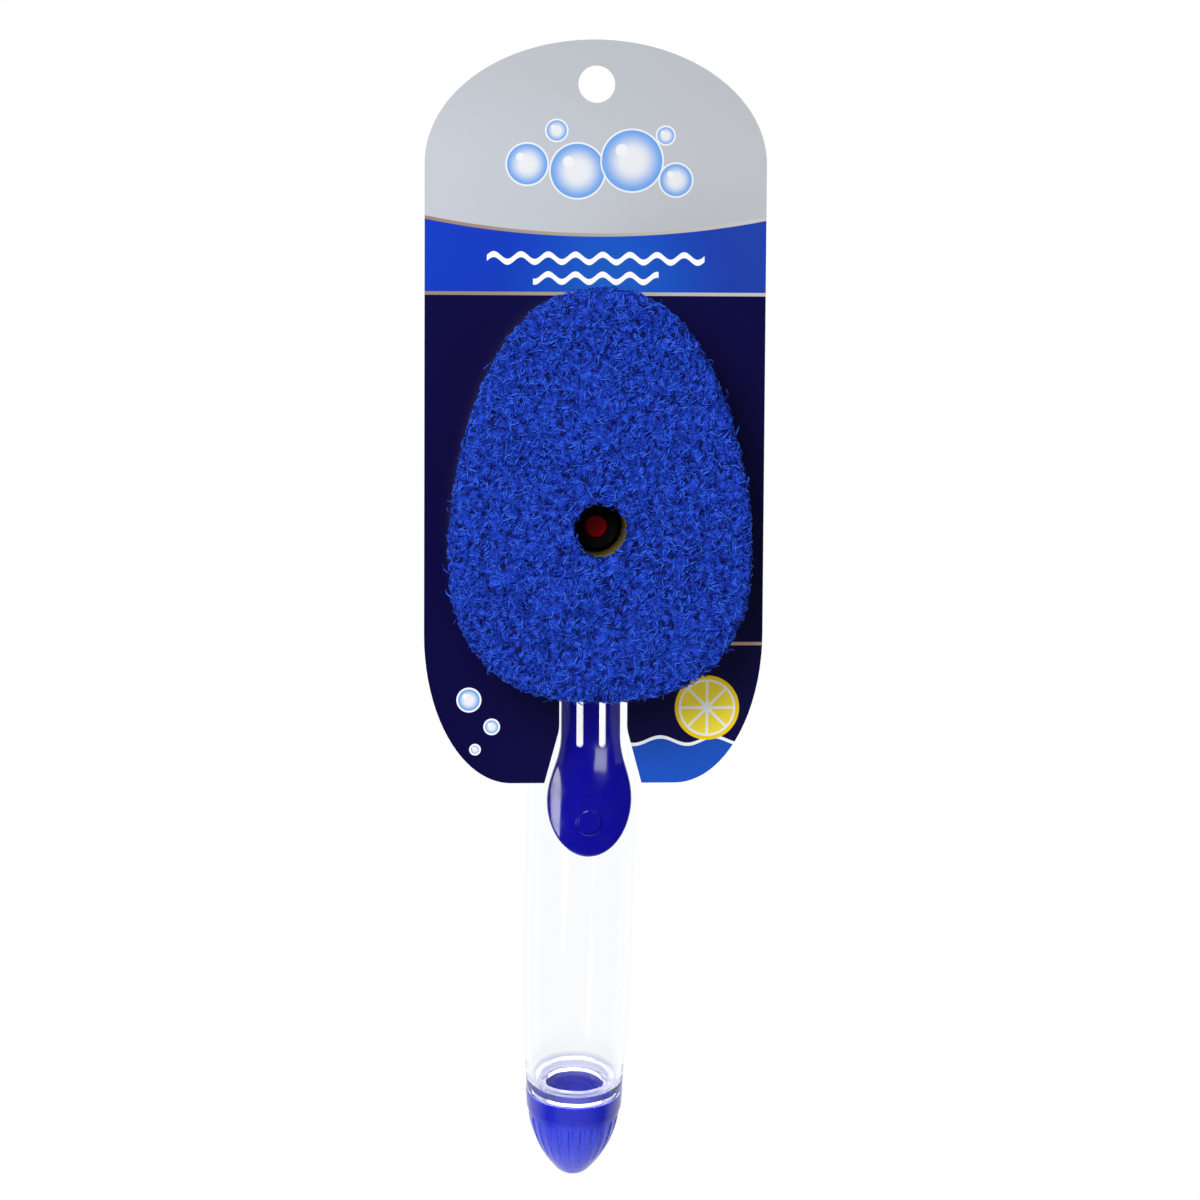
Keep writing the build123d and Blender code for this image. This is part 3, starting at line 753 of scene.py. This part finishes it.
def soft_copy(node, name, voxel, inset, roughening, grain):
    """An evenly meshed copy of a CAD solid, drawn in and then pushed about by noise."""
    copy = bpy.data.objects.new(name, nodes[node].data.copy())
    bpy.context.scene.collection.objects.link(copy)
    copy.data.materials.clear()
    bpy.ops.object.select_all(action="DESELECT")
    copy.select_set(True)
    bpy.context.view_layer.objects.active = copy
    weld = copy.modifiers.new("weld", "WELD")
    weld.merge_threshold = WELD_DISTANCE
    remesh = copy.modifiers.new("even_skin", "REMESH")
    remesh.mode = "VOXEL"
    remesh.voxel_size = voxel
    draw_in = copy.modifiers.new("draw_in", "DISPLACE")
    draw_in.mid_level = 0.0
    draw_in.strength = -inset
    texture = bpy.data.textures.new(name + "_grain", "CLOUDS")
    texture.noise_scale = grain
    texture.noise_depth = GRAIN_DEPTH
    rough = copy.modifiers.new("roughen", "DISPLACE")
    rough.texture = texture
    rough.texture_coords = "LOCAL"
    rough.mid_level = 0.5
    rough.strength = roughening
    for modifier in list(copy.modifiers):
        bpy.ops.object.modifier_apply(modifier=modifier.name)
    bpy.ops.object.shade_smooth()
    return copy


foam = soft_copy("foam_core", "foam_block", voxel=0.0008, inset=0.0002, roughening=0.0005, grain=0.0012)
pad = soft_copy("scrub_pad", "pad_fibres", voxel=0.0008, inset=0.0005, roughening=0.0008, grain=0.0014)
print("foam faces", len(foam.data.polygons), "pad core faces", len(pad.data.polygons))

# %% [markdown]
# Fibres of the pad
#
# A non-woven pad is a tangle of short crimped fibres glued where they cross. Bump alone would look like cast
# rubber, because a tangle has holes, crossings and loose ends at its outline. So each fibre here is a thin
# three-sided tube that creeps over the core, bends at random and dips in and out. Fibres keep their own tone
# in an attribute, which mixes a random tone with painted shade: fibres that lie deep are darker, as painted
# shade in the pits, and high ones are paler, as painted light on the tips.

# %% Where fibres start
CLUMP_SIZE = 0.0011
CLUMP_CONTRAST = 0.7
CLUMP_MEAN = 0.5
CLEAR_OF_NOZZLE = 0.0068
nozzle_middle = (Vector(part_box("valve_plug")[0]) + Vector(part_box("valve_plug")[1])) / 2


def around_nozzle(point):
    """Distance from the nozzle's axis."""
    return math.hypot(point.x - nozzle_middle.x, point.z - nozzle_middle.z)


def clump(point):
    """How much fibre there is at a place, from 0 in a pit to 1 in a tuft."""
    value = noise_at(point / CLUMP_SIZE) * CLUMP_CONTRAST + CLUMP_MEAN
    return min(max(value, 0.0), 1.0)


def surface_points(mesh, count, random):
    """Random points spread evenly over a mesh, clear of the nozzle's hole, each with its normal."""
    areas = [face.area if around_nozzle(face.center) > CLEAR_OF_NOZZLE else 0.0 for face in mesh.polygons]
    areas = np.array(areas)
    chosen = random.choice(len(areas), count, p=areas / areas.sum())
    return [(mesh.polygons[i].center.copy(), mesh.polygons[i].normal.copy()) for i in chosen]


# %% The line that a fibre follows
FIBRE_STEPS = 3
FIBRE_STEP_LENGTH = 0.0009
FIBRE_LOW = -0.0004
FIBRE_HIGH = 0.0008
FIBRE_CURL = 0.5
LEAST_HEIGHT_SHARE = 0.2
HEIGHT_WANDER = (FIBRE_HIGH - FIBRE_LOW) / 4
LOOSE_SHARE = 0.015
LOOSE_LIFT = 0.0004


def fibre_path(start, normal, tree, random):
    """A crimped line of points that follows the surface at a wandering height."""
    heading = Vector(random.normal(size=3))
    heading = (heading - normal * heading.dot(normal)).normalized()
    point, line = start.copy(), []
    share = clump(start) * random.uniform(LEAST_HEIGHT_SHARE, 1.0)
    height = FIBRE_LOW + (FIBRE_HIGH - FIBRE_LOW) * share
    lift = LOOSE_LIFT if random.random() < LOOSE_SHARE else 0.0
    for step in range(FIBRE_STEPS + 1):
        line.append(point + normal * height)
        turn = random.normal() * FIBRE_CURL
        heading = heading * math.cos(turn) + normal.cross(heading) * math.sin(turn)
        point, normal, _, _ = tree.find_nearest(point + heading * FIBRE_STEP_LENGTH)
        heading = (heading - normal * heading.dot(normal)).normalized()
        height += random.normal() * HEIGHT_WANDER + lift
        height = min(max(height, FIBRE_LOW), FIBRE_HIGH + lift * FIBRE_STEPS)
    return line


# %% The tube round that line
FIBRE_SIDES = 3
END_TAPER = 0.5
SIDEWAYS = Vector((0.3, 0.5, 0.8))


def tube_along(line, radius, first_vertex):
    """Vertices and faces of a thin closed tube along a line."""
    corners, faces = [], []
    for i, point in enumerate(line):
        along = line[min(i + 1, len(line) - 1)] - line[max(i - 1, 0)]
        side = along.cross(SIDEWAYS).normalized()
        up = side.cross(along).normalized()
        width = radius * (END_TAPER if i in (0, len(line) - 1) else 1.0)
        for k in range(FIBRE_SIDES):
            angle = 2 * math.pi * k / FIBRE_SIDES
            corners.append(point + (side * math.cos(angle) + up * math.sin(angle)) * width)
    for i in range(len(line) - 1):
        for k in range(FIBRE_SIDES):
            low = first_vertex + i * FIBRE_SIDES
            nearer, further = low + k, low + (k + 1) % FIBRE_SIDES
            faces.append((nearer, nearer + FIBRE_SIDES, further + FIBRE_SIDES, further))
    last = first_vertex + (len(line) - 1) * FIBRE_SIDES
    faces.append(tuple(first_vertex + k for k in range(FIBRE_SIDES)))
    faces.append(tuple(last + k for k in reversed(range(FIBRE_SIDES))))
    return corners, faces


# %% Grow the fibres over the core
FIBRE_COUNT = 32000
FIBRE_SEED = 7
FIBRE_RADIUS = 0.00018
THINNEST, THICKEST = 0.7, 1.3
TONE_START, SHADE_BY_CLUMP, TONE_BY_CHANCE = 0.2, 0.4, 0.4
CORE_TONE_START, CORE_SHADE_BY_CLUMP = 0.1, 0.5


def grow_fibres(core, count, seed):
    """One mesh of fibres over a core, with each fibre's tone as a point attribute."""
    random = np.random.default_rng(seed)
    tree = BVHTree.FromPolygons([v.co for v in core.data.vertices], [f.vertices for f in core.data.polygons])
    vertices, faces, tones = [], [], []
    for start, normal in surface_points(core.data, count, random):
        line = fibre_path(start, normal, tree, random)
        corners, skin = tube_along(line, FIBRE_RADIUS * random.uniform(THINNEST, THICKEST), len(vertices))
        # Painted shade: fibres from thin clumps lie deep and take a darker tone; the rest of the tone is
        # random.
        tone = TONE_START + SHADE_BY_CLUMP * clump(start) + random.uniform(0.0, TONE_BY_CHANCE)
        vertices += corners
        faces += skin
        tones += [tone] * len(corners)
    mesh = bpy.data.meshes.new("fibres")
    mesh.from_pydata(vertices, [], faces)
    mesh.attributes.new("tone", "FLOAT", "POINT").data.foreach_set("value", tones)
    mesh.shade_smooth()
    fibres = bpy.data.objects.new("fibres", mesh)
    bpy.context.scene.collection.objects.link(fibres)
    return fibres


fibres = grow_fibres(pad, FIBRE_COUNT, FIBRE_SEED)
# The core under the fibres takes painted shade too, darker where the fibre is thin.
core_tones = [CORE_TONE_START + CORE_SHADE_BY_CLUMP * clump(vertex.co) for vertex in pad.data.vertices]
pad.data.attributes.new("tone", "FLOAT", "POINT").data.foreach_set("value", core_tones)
bpy.ops.object.select_all(action="DESELECT")
fibres.select_set(True)
pad.select_set(True)
bpy.context.view_layer.objects.active = pad
bpy.ops.object.join()
print("pad faces", len(pad.data.polygons))

# %% [markdown]
# Colour of the fibres
#
# Under soft light the pad isn't one blue: pits between the tufts are nearly navy, and the tips of the fibres
# are pale. Here both are painted: a navy for painted shade in the pits, and a pale blue for painted light on
# the tips. The tone that each fibre carries picks between these and a middle blue. Two layers of noise move
# the tone about, so that neighbours differ by more than chance: tufts at random, and dark spots of painted
# shade for pits. The fibres are almost without gloss.

# %% Colour the pad
PAD_SHADED_PIT = (0.0016, 0.006, 0.10)
PAD_MIDDLE = (0.008, 0.045, 0.48)
PAD_LIT_TIP = (0.036, 0.13, 0.76)
PIT_SHADE_START, PIT_SHADE_END = 0.56, 0.68
PIT_SHADE_DEPTH = -0.6
MIDDLE_TONE = 0.6
LIT_TIP_TONE_START = 0.5

fibre = plain_material("blue_fibre", PAD_MIDDLE, 0.75, Specular_IOR_Level=0.12)
own_tone = add(fibre, "ShaderNodeAttribute", attribute_name="tone").outputs["Fac"]
tuft = wander(fibre, scale=650.0, low=-0.2, high=0.3, detail=3.0, roughness=0.6)
# Painted shade: dark spots of noise stand for pits, and they fall on top fibres too.
pit_shade_noise = noise(fibre, scale=800.0, detail=1.0)
painted_pit_shade = fade(fibre, pit_shade_noise, PIT_SHADE_START, PIT_SHADE_END, 0.0, PIT_SHADE_DEPTH)
tone = work_out(fibre, "ADD", work_out(fibre, "ADD", own_tone, tuft), painted_pit_shade)
shaded_to_middle = blend(fibre, fade(fibre, tone, 0.0, MIDDLE_TONE), PAD_SHADED_PIT, PAD_MIDDLE)
feed(fibre, "Base Color", blend(fibre, fade(fibre, tone, LIT_TIP_TONE_START, 1.0), shaded_to_middle, PAD_LIT_TIP))
pad.data.materials.clear()
pad.data.materials.append(fibre)

# %% [markdown]
# Colour of the foam
#
# Cut foam is a sheet of burst cells: each cell is a dark cup with a bright rim, as painted shade in the cup
# and painted light on the rim. A Voronoi pattern, whose value grows with the distance from a cell's middle,
# gives both the colour and the bump. Near the nozzle the foam is darker and deeper in colour, as painted
# shade deep in the pad's hole.

# %% Colour the foam
FOAM = (0.75, 0.6, 0.08)
FOAM_CUP_SHADE = (0.35, 0.26, 0.03)
FOAM_LIT_RIM = (0.8, 0.66, 0.12)
FOAM_HOLE_SHADE = (0.14, 0.105, 0.001)
CELL_SCALE = 1400.0
CUP_SHADE_START, CUP_SHADE_END = 0.1, 0.6
CELL_DEPTH = 0.0003
HOLE_SHADE_START, HOLE_SHADE_END = 0.007, 0.009

yellow = plain_material("yellow_foam", FOAM, 0.9)
cell_inputs = {"Vector": place(yellow), "Scale": CELL_SCALE}
cells = add(yellow, "ShaderNodeTexVoronoi", cell_inputs).outputs["Distance"]
# Painted shade darkens each cell's cup, and painted light pales its rim.
lit_and_shaded_cells = blend(yellow, fade(yellow, cells, CUP_SHADE_START, CUP_SHADE_END), FOAM_CUP_SHADE, FOAM_LIT_RIM)
off_middle = add(yellow, "ShaderNodeVectorMath", {0: place(yellow), 1: nozzle_middle}, operation="SUBTRACT")
off_axis = add(yellow, "ShaderNodeVectorMath", {0: off_middle.outputs[0], 1: (1, 0, 1)}, operation="MULTIPLY")
from_axis = add(yellow, "ShaderNodeVectorMath", {0: off_axis.outputs[0]}, operation="LENGTH").outputs["Value"]
# Painted shade: the foam near the nozzle's axis is darker, deep in the pad's hole.
hole_shade_to_open = fade(yellow, from_axis, HOLE_SHADE_START, HOLE_SHADE_END)
feed(yellow, "Base Color", blend(yellow, hole_shade_to_open, FOAM_HOLE_SHADE, lit_and_shaded_cells))
bump(yellow, cells, CELL_DEPTH)
foam.data.materials.clear()
foam.data.materials.append(yellow)

# %% [markdown]
# What each new piece stands for
#
# The pad and the foam ride on the refill and take the place of their plain CAD solids. Both are cut from
# stiff sheet and filled tight, so they need no cloth simulation.

# %% Tie the soft pieces to the frame
for piece, node, slot, fill in ((pad, "scrub_pad", "scrub_fibre", 1.0), (foam, "foam_core", "foam", 1.0)):
    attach(piece, "refill")
    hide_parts(node)
    print(piece.name, "stands for", node)
